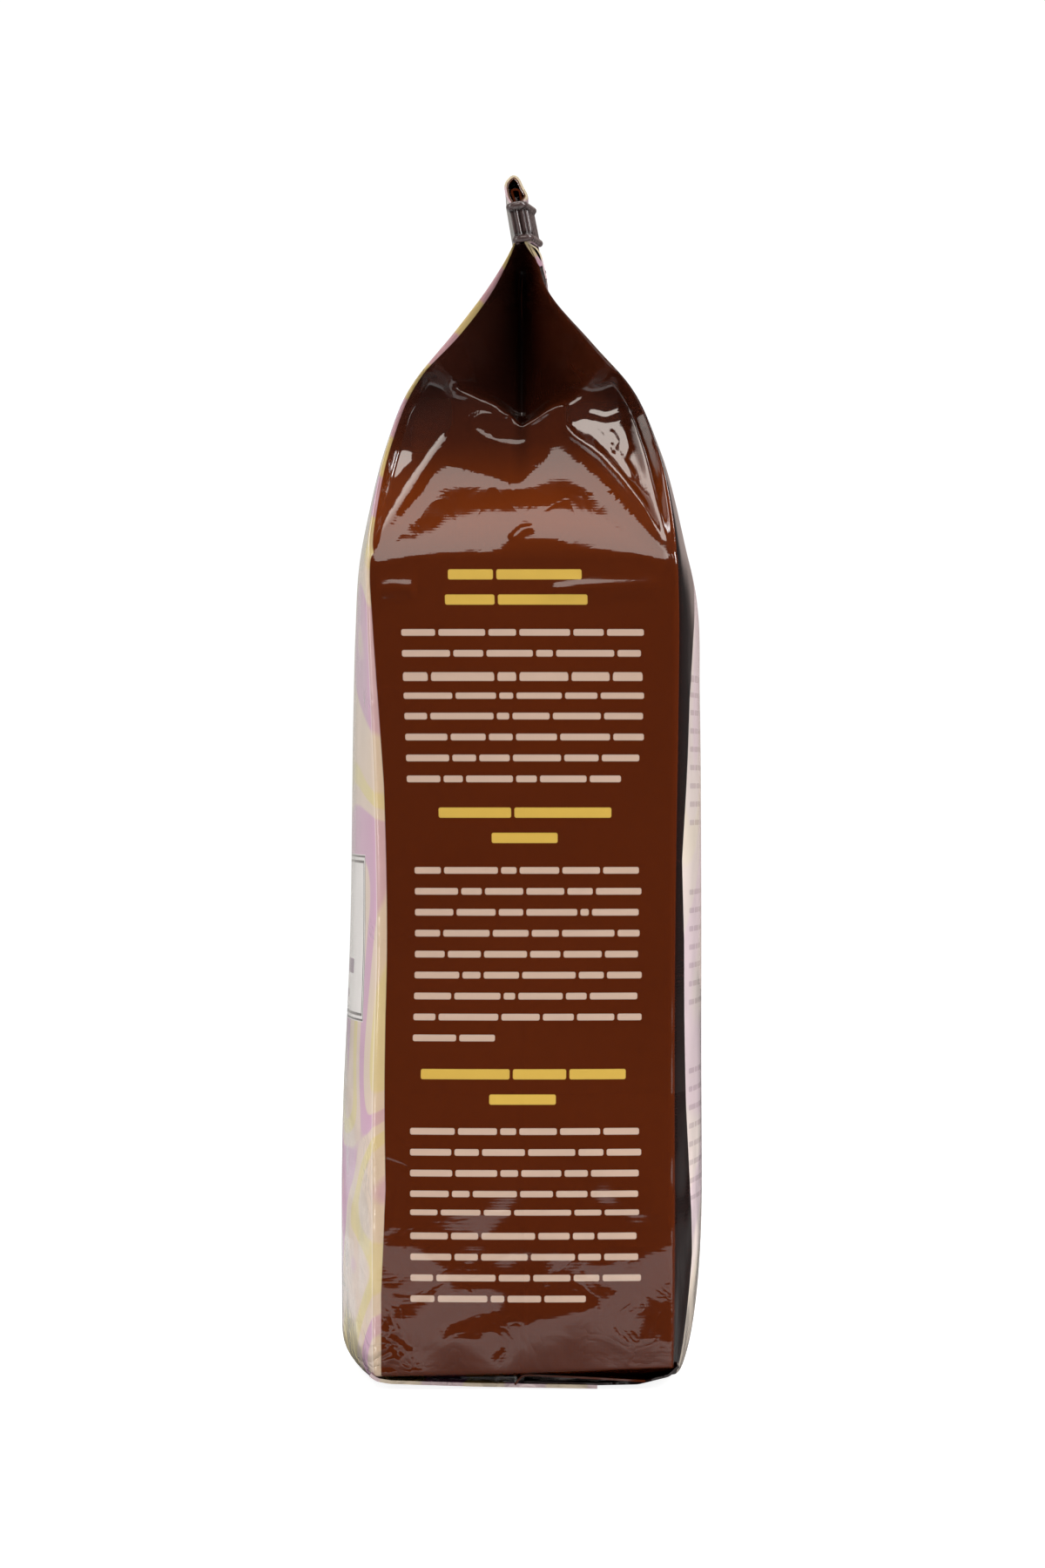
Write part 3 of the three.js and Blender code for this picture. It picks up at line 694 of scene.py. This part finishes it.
# Painted light: a brighter band of brown across the upward-tilted shoulder facets
shoulder_painted_light = s.math("MULTIPLY", s.inside(in_space[2], 0.182, 0.192, soft=0.008), 0.75)
gusset_colour = s.mix(shoulder_painted_light, gusset_colour, rgb(110, 46, 9))
gusset_colour = s.mix(neck_painted_shade, gusset_colour, rgb(48, 24, 19))
off_middle = s.math("ABSOLUTE", s.math("SUBTRACT", round_at, RIGHT_MIDDLE))
# Painted shade: near-black down the deepest line of the neck's pleat
pleat_painted_shade = s.math("MULTIPLY", neck_painted_shade, s.step(off_middle, 0.5, 2.5, 1.0, 0.0))
gusset_colour = s.mix(pleat_painted_shade, gusset_colour, rgb(9, 4, 3))
BODY = rgb(214, 190, 172)
HEADING = rgb(214, 180, 84)
NEAR_HEADINGS = [
    (171.0, -15.4, 12.4), (165.7, -16.1, 13.5), (121.0, -18.7, 18.3), (115.7, -7.6, 7.0),
    (66.2, -22.1, 21.8), (60.9, -7.6, 7.1),
]
NEAR_BODIES = [(158.8, 8, -25.2, 25.1, 0.92), (108.9, 9, -24.0, 25.1, 0.38), (54.2, 9, -24.2, 25.1, 0.77)]
FAR_HEADINGS = [(168.0, -17.0, 17.0), (118.0, -12.0, 12.0), (112.6, -16.0, 16.0), (58.0, -14.0, 14.0)]
FAR_BODIES = [(158.0, 7, -25.0, 25.0, 0.6), (102.0, 8, -25.0, 25.0, 0.8), (48.0, 6, -25.0, 25.0, 0.5)]
heading_mask = 0.0
body_mask = 0.0
for middle, headings, bodies in (
    (RIGHT_MIDDLE, NEAR_HEADINGS, NEAR_BODIES), (LEFT_MIDDLE, FAR_HEADINGS, FAR_BODIES),
):
    for top, left, right in headings:
        made = s.group(bars, Across=round_at, Up=up_at, Left=middle + left, Right=middle + right, Top=top,
                       Height=2.2, Ragged=0.0, Word=15.0)
        heading_mask = s.math("MAXIMUM", heading_mask, made.outputs[0])
    for top, rows, left, right, last in bodies:
        made = s.group(bars, Across=round_at, Up=up_at, Left=middle + left, Right=middle + right, Top=top,
                       Rows=float(rows), Pitch=4.39, Height=1.45, Ragged=1.2, Last=last, Word=8.0)
        body_mask = s.math("MAXIMUM", body_mask, made.outputs[0])
gusset_colour = s.mix(s.math("MULTIPLY", body_mask, 0.74), gusset_colour, BODY)
gusset_colour = s.mix(s.math("MULTIPLY", heading_mask, 0.85), gusset_colour, HEADING)

off_front = s.math("SUBTRACT", from_middle, HALF_PANEL)
on_front = s.step(s.math("SUBTRACT", off_front, wrap), -0.1, 0.1, 1.0, 0.0)
on_back = s.math("GREATER_THAN", from_middle, HALF_PANEL + GUSSET_WIDTH)
stripe = s.math("ADD", s.math("MULTIPLY", up_at, 0.36), s.math("MULTIPLY", round_at, 0.05))
stripe = s.step(s.math("SINE", stripe), -0.12, 0.12)
edge_colour = s.mix(stripe, rgb(198, 178, 112), rgb(184, 134, 168))
shaded_edge = s.mix(stripe, rgb(160, 138, 84), rgb(142, 96, 128))
edge_colour = s.mix(s.step(up_at, -15.0, -18.0), edge_colour, shaded_edge)
at_edge = s.math("MULTIPLY", s.step(up_at, 172.0, 184.0), s.step(off_front, -2.6, -1.2))
at_edge = s.math("MAXIMUM", at_edge, s.step(up_at, -15.0, -18.0))
front_colour = s.mix(at_edge, front_colour, edge_colour)
wrapped = s.math("MULTIPLY", s.inside(off_front, 0.1, 9.0), 0.45)
front_colour = s.mix(wrapped, front_colour, rgb(176, 150, 112))
# Painted highlight: a pale line along the front panel's corner crease
crease_painted_highlight = s.math("MULTIPLY", s.inside(off_front, -0.35, 0.0), 0.5)
front_colour = s.mix(crease_painted_highlight, front_colour, rgb(236, 228, 220))
colour = s.mix(on_front, gusset_colour, front_colour)
colour = s.mix(on_back, colour, back_colour)
s.put(surface.inputs["Base Color"], colour)
shoulder = s.inside(up_at, 178.0, 214.0, soft=10.0)
shoulder = s.math("MULTIPLY", shoulder, s.inside(off_front, 0.8, GUSSET_WIDTH))
at_crease = s.inside(off_front, -5.0, 7.0, soft=3.0)
creased = s.step(up_at, 6.0, 13.0, 1.0, 0.0)
for low, high in ((34.0, 52.0), (95.0, 97.0), (144.0, 146.0)):
    creased = s.math("MAXIMUM", creased, s.inside(up_at, low, high, soft=2.0))
crumple = s.math("MAXIMUM", s.math("MULTIPLY", shoulder, 0.22), s.math("MULTIPLY", at_crease, creased))
crumple = s.math("MAXIMUM", crumple, s.step(up_at, 12.0, 40.0, 0.4, 0.0))
low_corner = s.inside(off_front, -30.0, 5.0, soft=6.0)
low_corner = s.math("MULTIPLY", s.step(up_at, 8.0, 17.0, 2.4, 0.0), low_corner)
crumple = s.math("MAXIMUM", crumple, low_corner)
dents = s.step(up_at, 30.0, 62.0, 5.6, 0.7)
detail = s.group(laminate, Place=solid_place, Film=place, Dents=dents, Crumple=crumple)
middle_fold = s.step(off_middle, 0.0, 0.9, 1.0, 0.0)
middle_fold = s.math("MULTIPLY", middle_fold, s.step(up_at, 20.0, 90.0, 0.12, 0.01))
bump = s.add("ShaderNodeBump", 1.0, 0.001)
s.put(bump.inputs["Height"], s.math("ADD", detail.outputs["Height"], middle_fold))
s.put(surface.inputs["Normal"], bump.outputs[0])
s.put(surface.inputs["Roughness"], detail.outputs["Roughness"])
surface.inputs["IOR"].default_value = 1.5
right_cheek = s.math("SUBTRACT", in_space[1], s.step(in_space[2], 0.176, 0.203, 0.0300, 0.0092))
left_cheek = s.math("SUBTRACT", s.step(in_space[2], 0.176, 0.203, -0.0322, -0.0146), in_space[1])
cheek = s.step(s.math("MAXIMUM", right_cheek, left_cheek), -0.0004, 0.0008)
cheek = s.math("MULTIPLY", cheek, s.inside(in_space[2], 0.176, 0.206, soft=0.004))
cheek = s.math("MULTIPLY", cheek, s.step(tone, 0.3, 0.75, 1.0, 0.45))
s.put(surface.inputs["Coat Weight"], s.math("MULTIPLY", cheek, s.math("GREATER_THAN", in_space[0], 0.0)))
surface.inputs["Coat IOR"].default_value = 1.75
surface.inputs["Coat Roughness"].default_value = 0.1
s.add("ShaderNodeOutputMaterial", surface.outputs[0])
pouch.data.materials.clear()
pouch.data.materials.append(film_print)

# The folded top
#
# The flat neck goes up through the tie, over in a small open loop and down behind the tie, where
# its two cut edges hang one behind the other. It is the same film, cream outside and brown inside.

NECK_LEAN = math.radians(9.5)
TIE_MIDDLE = (-0.3, 244.8)
BROWN_PATCH = (RIGHT_MIDDLE, -40.0)


def leant(y, z):
    """From the tie's own upright Y and Z to the bag's, in mm."""
    return (
        TIE_MIDDLE[0] + y * math.cos(NECK_LEAN) - z * math.sin(NECK_LEAN),
        TIE_MIDDLE[1] + y * math.sin(NECK_LEAN) + z * math.cos(NECK_LEAN),
    )


def resampled(path, spacing):
    """Even steps along a path of straight runs, with its corners rounded."""
    path = np.array(path, float)
    run = np.concatenate([[0], np.cumsum(np.linalg.norm(np.diff(path, axis=0), axis=1))])
    at = np.linspace(0, run[-1], max(4, int(run[-1] / spacing)))
    even = np.stack([np.interp(at, run, path[:, axis]) for axis in range(path.shape[1])], axis=-1)
    for _ in range(3):
        even[1:-1] = even[1:-1] * 0.5 + (even[2:] + even[:-2]) * 0.25
    return even, at


def ribbon(name, path, thickness, half_length, film_up, inner_film=None, ripple=0.12, seed=1, turn=TURN,
           is_back=False, outer_film=None):
    """A strip of film that follows a path in the YZ plane and runs across the bag along X. Its
    print starts film_up along the film, and its inner side shows another spot of it if given."""
    middle, at = resampled(path, 0.35)
    tangent = np.gradient(middle, axis=0)
    tangent /= np.linalg.norm(tangent, axis=1, keepdims=True)
    side = np.stack([-tangent[:, 1], tangent[:, 0]], axis=-1)
    outer = middle + side * thickness / 2
    inner = middle - side * thickness / 2
    ring = np.concatenate([outer, inner[::-1], outer[:1]])
    seam = np.concatenate([middle, middle[::-1], middle[:1]])
    along = np.linspace(-half_length, half_length, 90)
    along = np.concatenate([along[:1], along, along[-1:]])
    rng = np.random.default_rng(seed)
    waves = sum(
        np.sin(along * 2 * math.pi / length + phase) * size
        for length, phase, size in zip((61, 33, 17), rng.uniform(0, 6, 3), (1.0, 0.6, 0.35))
    )
    points = np.zeros((len(along), len(ring), 3))
    points[..., 0] = along[:, None]
    points[:, :, 1:] = ring
    points[0, :, 1:] = seam
    points[-1, :, 1:] = seam
    points[..., 1] += waves[:, None] * ripple + turn * (HALF_PANEL - along[:, None])
    points[..., 2] += np.roll(waves, 20)[:, None] * ripple * 0.6
    place = np.zeros(points.shape[:2] + (2,))
    place[..., 0] = -along[:, None] if is_back else FRONT_MIDDLE + along[:, None]
    place[..., 1] = film_up + np.concatenate([at, at[::-1], at[:1]])[None, :]
    if outer_film:
        place[:] = outer_film
    if inner_film:
        place[1:-1, len(outer):-1] = inner_film
    piece = rolled_sheet(name, points, place, pinched=True)
    bpy.ops.object.shade_smooth_by_angle(angle=math.radians(50))
    piece.data.materials.clear()
    piece.data.materials.append(film_print)
    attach(piece, "root")
    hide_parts("bag")
    return piece


TIE_HALF = 4.3
OVER_PATH = [
    (-0.45, -2.8), (-0.5, 2.0), (-1.1, TIE_HALF + 0.2), (-1.7, 5.6), (-1.75, 8.0), (-1.3, 8.9), (0.2, 9.9),
    (1.0, 9.0), (1.35, 7.4), (2.2, 5.2), (1.0, TIE_HALF + 0.1), (0.6, 2.0), (0.6, -1.0),
]
UNDER_PATH = [(-0.1, 1.0), (-0.35, 4.4), (-0.85, 7.3), (0.95, 7.1), (0.95, 4.4), (0.3, 1.0)]
OUTER_TAIL = [(0.75, -1.0), (0.8, -4.4), (2.6, -5.8), (3.2, -7.4), (3.5, -12.4)]
INNER_TAIL = [(0.5, -1.0), (0.65, -4.2), (1.9, -6.9), (3.0, -9.6)]
LOOP_FOLDS = [
    dict(name="folded_top", path=OVER_PATH, thickness=0.85, half_length=HALF_PANEL, film_up=233.5,
         inner_film=BROWN_PATCH),
    dict(name="folded_pleat", path=UNDER_PATH, thickness=0.45, half_length=HALF_PANEL - 0.5, film_up=0.0,
         outer_film=BROWN_PATCH),
    dict(name="outer_tail", path=OUTER_TAIL, thickness=0.3, half_length=HALF_PANEL, film_up=227.5),
    dict(name="inner_tail", path=INNER_TAIL, thickness=0.85, half_length=HALF_PANEL - 0.4, film_up=229.0),
]
for seed, fold in enumerate(LOOP_FOLDS):
    fold["path"] = [leant(y, z) for y, z in fold["path"]]
    ribbon(ripple=0.08, seed=seed, **fold)

# The base
#
# The front film comes round under the bag and ends in the pressed seam, and the back film lies
# over it. The gussets' corners are folded in between the two, so brown shows at the sides.

BASE_PATH = [(-31.8, 2.9), (-30.4, 1.9), (-27.6, 1.4), (-10.0, 0.85), (15.9, 0.42)]
BACK_PATH = [(0.6, 1.35), (15.0, 0.9), (24.5, 1.1), (31.0, 2.7), (33.0, 4.6)]
CORNER_PATH = [(-1.4, 0.9), (-0.6, 1.9), (0.2, 2.8), (1.6, 2.9), (14.0, 2.3), (26.0, 1.6)]
ribbon("base_sheet", BASE_PATH, 0.75, HALF_PANEL - 0.2, -72.0, turn=0.0, ripple=0.0)
ribbon("base_corner", CORNER_PATH, 0.4, HALF_PANEL - 0.1, 0.0, turn=0.0, ripple=0.0, outer_film=BROWN_PATCH)
ribbon("base_back_flap", BACK_PATH, 0.5, HALF_PANEL - 0.8, -20.0, turn=0.0, ripple=0.0, is_back=True)

# The tin-tie
#
# A strip of dark brown plastic with a wire moulded into each long edge. It lies across the front
# of the neck, and both of its ends are bent round the neck's edges and pressed against the back.

WIRE = 0.8
WEB = 0.22
BEND = 1.5
BEND_X = HALF_PANEL + 0.5
LEG = 13.0
LEG_FLARE = 1.7
half_line = [(0.0, -BEND)]
half_line += [(x, -BEND) for x in np.linspace(4, BEND_X, 20)]
half_line += [
    (BEND_X + BEND * math.cos(angle), BEND * math.sin(angle))
    for angle in np.linspace(-math.pi / 2, math.pi / 2, 40)[1:]
]
half_line += [(BEND_X - LEG * t, BEND + LEG_FLARE * t) for t in np.linspace(0, 1, 40)[1:]]
line = np.array([(-x, y) for x, y in half_line[:0:-1]] + half_line)
run = np.concatenate([[0], np.cumsum(np.linalg.norm(np.diff(line, axis=0), axis=1))])
tangent = np.gradient(line, axis=0)
tangent /= np.linalg.norm(tangent, axis=1, keepdims=True)
away = np.stack([tangent[:, 1], -tangent[:, 0]], axis=-1)
section = []
for angle in np.linspace(-math.pi * 0.82, math.pi * 0.82, 19):
    section.append((TIE_HALF - WIRE + WIRE * math.cos(angle), WIRE * math.sin(angle)))
section += [(h, WEB) for h in np.linspace(TIE_HALF - 2 * WIRE - 0.2, -TIE_HALF + 2 * WIRE + 0.2, 16)]
for angle in np.linspace(math.pi * 0.18, math.pi * 1.82, 19):
    section.append((-TIE_HALF + WIRE + WIRE * math.cos(angle), WIRE * math.sin(angle)))
section += [(h, -WEB) for h in np.linspace(-TIE_HALF + 2 * WIRE + 0.2, TIE_HALF - 2 * WIRE - 0.2, 16)]
section = np.array(section + section[:1])
from_bend = np.abs(np.abs(run - run[-1] / 2) - (BEND_X + BEND * math.pi / 2))
ribs = 0.26 * np.cos((run - run[-1] / 2) * 2 * math.pi / 1.15) * np.exp(-((from_bend / 5.0) ** 2))
ribs += 0.05 * np.sin(run * 2 * math.pi / 1.9) * np.exp(-((from_bend / 16.0) ** 2))
on_web = np.clip((TIE_HALF - 1.6 * WIRE - np.abs(section[:, 0])) / 0.5, 0, 1)
out = section[None, :, 1] + (ribs[:, None] * on_web[None, :]) * np.sign(section[None, :, 1])
tie_points = np.zeros((len(line), len(section), 3))
tie_points[..., 0] = line[:, None, 0] + away[:, None, 0] * out
flat_y = line[:, None, 1] + away[:, None, 1] * out
flat_z = section[None, :, 0].repeat(len(line), axis=0)
tie_points[..., 1], tie_points[..., 2] = leant(flat_y, flat_z)
tie_points[..., 1] += TURN * (HALF_PANEL - tie_points[..., 0]) - 0.03 * flat_z
tie_place = np.stack([run[:, None].repeat(len(section), axis=1), flat_z], axis=-1)
tie = rolled_sheet("tin_tie_strip", tie_points, tie_place)
bpy.ops.object.shade_smooth_by_angle(angle=math.radians(45))

tie_plastic = bpy.data.materials.new("tie plastic")
tie_plastic.use_nodes = True
t = Shader(tie_plastic.node_tree)
tie_surface = t.add("ShaderNodeBsdfPrincipled")
tie_at = t.add("ShaderNodeTexCoord").outputs["Object"]
mottle = t.noise(tie_at, 420.0, detail=4.0)
strip_at = t.add("ShaderNodeSeparateXYZ", t.add("ShaderNodeUVMap", uv_map="film").outputs[0]).outputs
# Painted shade: the tie is darkened in the grooves beside its wires and in the valleys between its ribs
wire_groove_shade = t.inside(t.math("ABSOLUTE", strip_at[1]), TIE_HALF - 2.1, TIE_HALF - 1.6, soft=0.3)
rib_phase = t.math("MULTIPLY", t.math("SUBTRACT", strip_at[0], float(run[-1] / 2)), 2 * math.pi / 1.15)
rib_valley_shade = t.step(t.math("COSINE", rib_phase), 0.2, -0.9)
between_wires = t.step(t.math("ABSOLUTE", strip_at[1]), TIE_HALF - 1.9, TIE_HALF - 1.6, 1.0, 0.0)
tie_painted_shade = t.math("MAXIMUM", wire_groove_shade, t.math("MULTIPLY", rib_valley_shade, between_wires))
tie_colour = t.mix(mottle, rgb(54, 41, 41), rgb(86, 71, 70))
t.put(tie_surface.inputs["Base Color"], t.mix(t.math("MULTIPLY", tie_painted_shade, 0.75), tie_colour, rgb(24, 14, 13)))
t.put(tie_surface.inputs["Roughness"], t.step(mottle, 0.3, 0.7, 0.12, 0.22))
tie_bump = t.add("ShaderNodeBump", 0.4, 0.0003)
t.put(tie_bump.inputs["Height"], mottle)
t.put(tie_surface.inputs["Normal"], tie_bump.outputs[0])
t.add("ShaderNodeOutputMaterial", tie_surface.outputs[0])
tie.data.materials.clear()
tie.data.materials.append(tie_plastic)
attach(tie, "root")
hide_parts("tin_tie")

# The floor, light and camera of the photograph

bpy.ops.object.select_all(action="DESELECT")
bpy.ops.mesh.primitive_plane_add(size=1)
floor = bpy.context.object
floor.name = "floor"
floor.scale = (2.2, 2.4, 1)
floor.location = (-0.78, 0, -0.0002)
bpy.ops.object.transform_apply(location=True, rotation=True, scale=True)
paper = bpy.data.materials.new("white paper")
paper.use_nodes = True
p = Shader(paper.node_tree)
paper_surface = p.add("ShaderNodeBsdfPrincipled")
on_floor = p.add("ShaderNodeSeparateXYZ", p.add("ShaderNodeTexCoord").outputs["Object"]).outputs
ray = p.add("ShaderNodeLightPath").outputs
mirrored_floor = p.mix(p.step(on_floor[1], -0.03, -0.08), (0.03, 0.03, 0.03, 1), (0.45, 0.45, 0.45, 1))
behind = p.mix(ray["Is Glossy Ray"], (0.25, 0.25, 0.25, 1), mirrored_floor)
floor_colour = p.mix(p.step(on_floor[0], 0.03, 0.09), behind, (0.85, 0.85, 0.85, 1))
p.put(paper_surface.inputs["Base Color"], floor_colour)
paper_surface.inputs["Roughness"].default_value = 0.9
paper_surface.inputs["Emission Color"].default_value = (1, 1, 1, 1)
p.put(paper_surface.inputs["Emission Strength"], p.math("MULTIPLY", ray["Is Camera Ray"], 0.9))
p.add("ShaderNodeOutputMaterial", paper_surface.outputs[0])
floor.data.materials.append(paper)

world = bpy.data.worlds.new("studio")
world.use_nodes = True
w = Shader(world.node_tree)
ray = w.add("ShaderNodeLightPath")
room = w.add("ShaderNodeBackground", (0.30, 0.30, 0.30, 1), 1.0)
way = w.add("ShaderNodeSeparateXYZ", w.add("ShaderNodeTexCoord").outputs["Generated"]).outputs
left_wall = w.math("MULTIPLY", w.step(way[1], 0.0, -0.06), w.step(way[0], 0.1, -0.3))
right_wall = w.math("MULTIPLY", w.step(way[1], 0.0, 0.02), w.step(way[1], 0.22, 0.36, 1.0, 0.0))
right_wall = w.math("MULTIPLY", right_wall, w.step(way[0], 0.1, -0.3))
right_wall = w.math("MULTIPLY", right_wall, w.step(way[2], 0.2, 0.4, 1.0, 0.0))
wall = w.mix(left_wall, (0.05, 0.05, 0.05, 1), (0.5, 0.48, 0.45, 1))
wall = w.mix(right_wall, wall, (0.36, 0.29, 0.27, 1))
mirrored = w.add("ShaderNodeBackground", wall, 1.0)
backdrop = w.add("ShaderNodeBackground", (1, 1, 1, 1), 1.05)
lit = w.add("ShaderNodeMixShader", ray.outputs["Is Glossy Ray"], room.outputs[0], mirrored.outputs[0])
shown = w.add("ShaderNodeMixShader", ray.outputs["Is Camera Ray"], lit.outputs[0], backdrop.outputs[0])
w.add("ShaderNodeOutputWorld", shown.outputs[0])
bpy.context.scene.world = world


def softbox(name, place, aim, width, height, power, tint=(1.0, 1.0, 1.0)):
    lamp = bpy.data.lights.new(name, "AREA")
    lamp.color = tint
    lamp.shape = "RECTANGLE"
    lamp.size = width
    lamp.size_y = height
    lamp.energy = power
    lamp_object = bpy.data.objects.new(name, lamp)
    lamp_object.location = place
    lamp_object.rotation_euler = (Vector(aim) - Vector(place)).to_track_quat("-Z", "Y").to_euler()
    bpy.context.scene.collection.objects.link(lamp_object)


softbox("key", (1.01, 0.0, 1.155), (0, 0, 0.19), 1.3, 0.7, 12.5, tint=(1.0, 0.91, 0.84))
softbox("left", (0.2, -1.4, 0.6), (0, 0, 0.12), 0.3, 1.2, 9)
softbox("right", (0.2, 1.25, 1.0), (0, 0, 0.12), 0.3, 1.2, 20)
softbox("overhead", (-0.1, 0.0, 1.5), (0.03, 0, 0.19), 1.2, 0.25, 10)
softbox("back", (-1.4, 0.0, 1.6), (-0.9, 0, 0), 2.4, 1.6, 11)

lens = bpy.data.cameras.new("camera")
lens.lens = 109.6
camera = bpy.data.objects.new("camera", lens)
camera.location = (1.0433, 0.0002, 0.127)
camera.rotation_euler = Euler((math.pi / 2, 0, math.pi / 2))
bpy.context.scene.collection.objects.link(camera)
bpy.context.scene.camera = camera
bpy.context.scene.view_settings.view_transform = "Standard"
